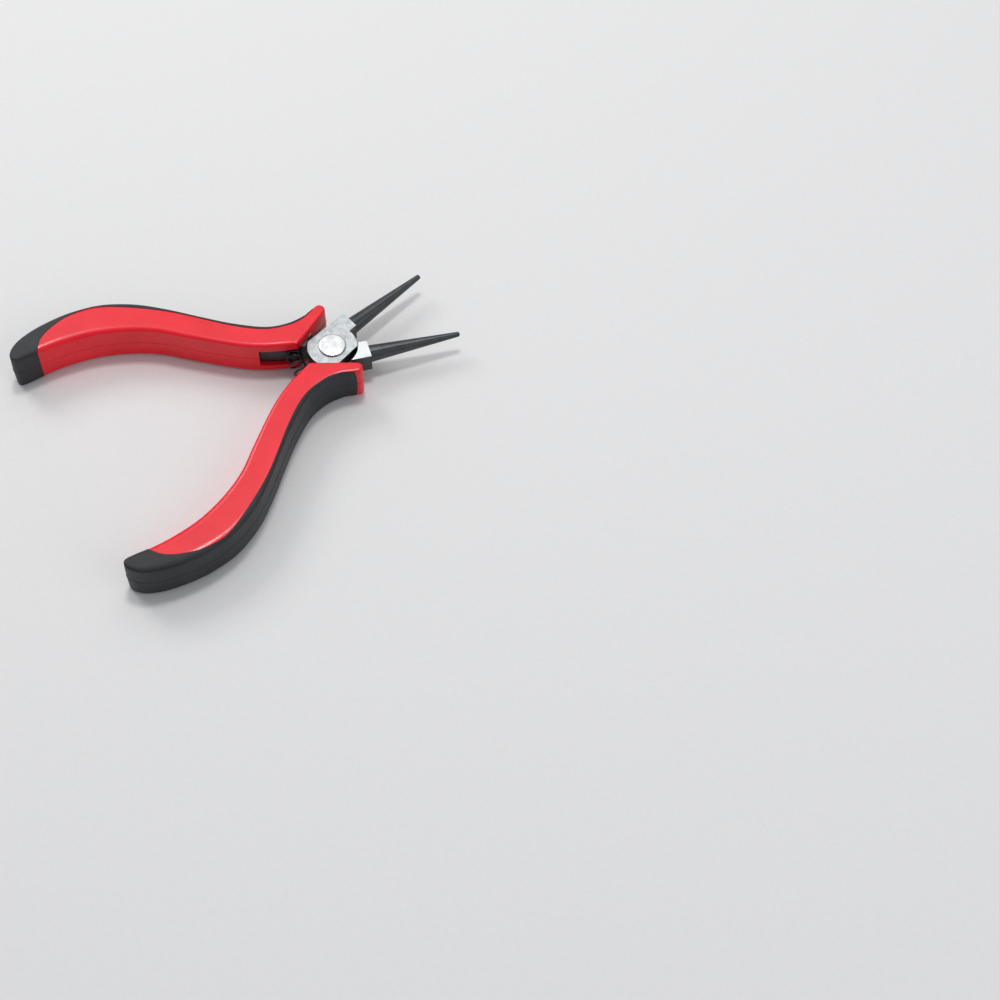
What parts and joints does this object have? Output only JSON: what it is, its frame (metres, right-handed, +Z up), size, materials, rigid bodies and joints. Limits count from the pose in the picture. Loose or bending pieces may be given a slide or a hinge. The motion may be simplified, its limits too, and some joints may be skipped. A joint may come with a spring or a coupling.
{
  "type": "round nose pliers",
  "caption": "Slim round nose pliers for bending wire loops: lapped levers on a rivet, tapered round jaws, a return coil and curved two-tone grips with thumb guards.",
  "frame": {"origin": "centre of the lower rivet head's flat face, on the pivot's axis", "axes": "+Z up along the pivot's axis, +Y towards the jaws, +X to the right of someone who holds the tool with the jaws pointing away"},
  "size_m": [0.0928, 0.1185, 0.013],
  "materials": {
    "forged_steel": "fine ground faces at the joint, black oxide on the round jaws and on the tangs",
    "polished_steel": "polished, with a faint turned pattern",
    "spring_steel": "black oxide, slightly glossy",
    "red_plastic": "satin moulded plastic with a parting line",
    "black_soft_plastic": "fine grained soft plastic, matt"
  },
  "bodies": {
    "left_half": {"left_lever": "forged_steel", "left_spring_post": "spring_steel", "left_grip_body": "red_plastic", "left_grip_outer": "black_soft_plastic", "pivot_rivet": "polished_steel", "return_spring": "spring_steel"},
    "right_half": {"right_lever": "forged_steel", "right_spring_post": "spring_steel", "right_grip_body": "red_plastic", "right_grip_outer": "black_soft_plastic"}
  },
  "joints": [
    {"name": "pivot", "type": "hinge", "parent": "left_half", "child": "right_half", "pos_m": [0, 0, 0.0038], "axis": [0, 0, -1], "range_deg": [-6, 35.5], "stiffness_Nm_per_rad": 0.2, "deforming": ["return_spring"]}
  ]
}
